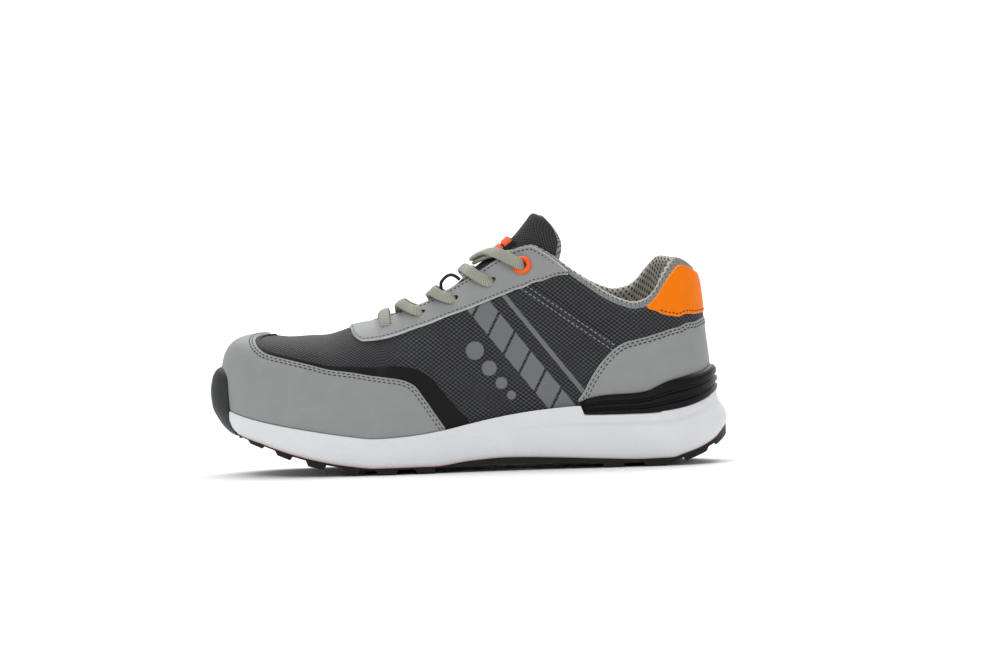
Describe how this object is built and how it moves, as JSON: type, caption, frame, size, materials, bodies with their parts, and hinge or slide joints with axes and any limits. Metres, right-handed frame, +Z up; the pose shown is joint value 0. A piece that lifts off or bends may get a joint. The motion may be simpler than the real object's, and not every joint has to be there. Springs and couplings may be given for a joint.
{
  "type": "safety shoe",
  "caption": "Left low-cut safety trainer: hollow lasted upper with toe bumper, grey overlays, padded collar, tongue and crossed flat laces on a thick lugged sole.",
  "frame": {"origin": "centre of the bounding box at the floor under the sole", "axes": "+X from toe to heel, +Y to the inner side of the left foot, +Z up"},
  "size_m": [0.2993, 0.1068, 0.1475],
  "materials": {
    "outsole_rubber": "matt moulded rubber",
    "midsole_foam": "matt moulded foam",
    "clip_plastic": "semi-gloss moulded ribs",
    "insole_fabric": "knitted cover",
    "upper_mesh": "woven mesh and smooth dark panels",
    "panel_grey": "fine-grained coated leather",
    "trim_film": "smooth welded film",
    "tab_orange": "fine-grained coated leather",
    "tongue_fabric": "woven fabric with a pale binding",
    "label_rubber": "matt rubber with raised plain tiles",
    "eyelet_plastic": "glossy",
    "keeper_webbing": "woven",
    "lace_fabric": "flat oval weave"
  },
  "bodies": {
    "root": {"outsole": "outsole_rubber", "midsole": "midsole_foam", "heel_clip": "clip_plastic", "insole": "insole_fabric", "upper": "upper_mesh", "toe_panel": "panel_grey", "toe_trim": "trim_film", "eyestay": "panel_grey", "heel_counter": "panel_grey", "heel_tab": "tab_orange", "tongue": "tongue_fabric", "tongue_label": "label_rubber", "eyelet_lateral": "eyelet_plastic", "eyelet_medial": "eyelet_plastic", "lace_keeper": "keeper_webbing", "lace_bar": "lace_fabric", "lace_cross_1": "lace_fabric", "lace_cross_2": "lace_fabric", "lace_cross_3": "lace_fabric", "lace_cross_4": "lace_fabric"}
  },
  "joints": []
}
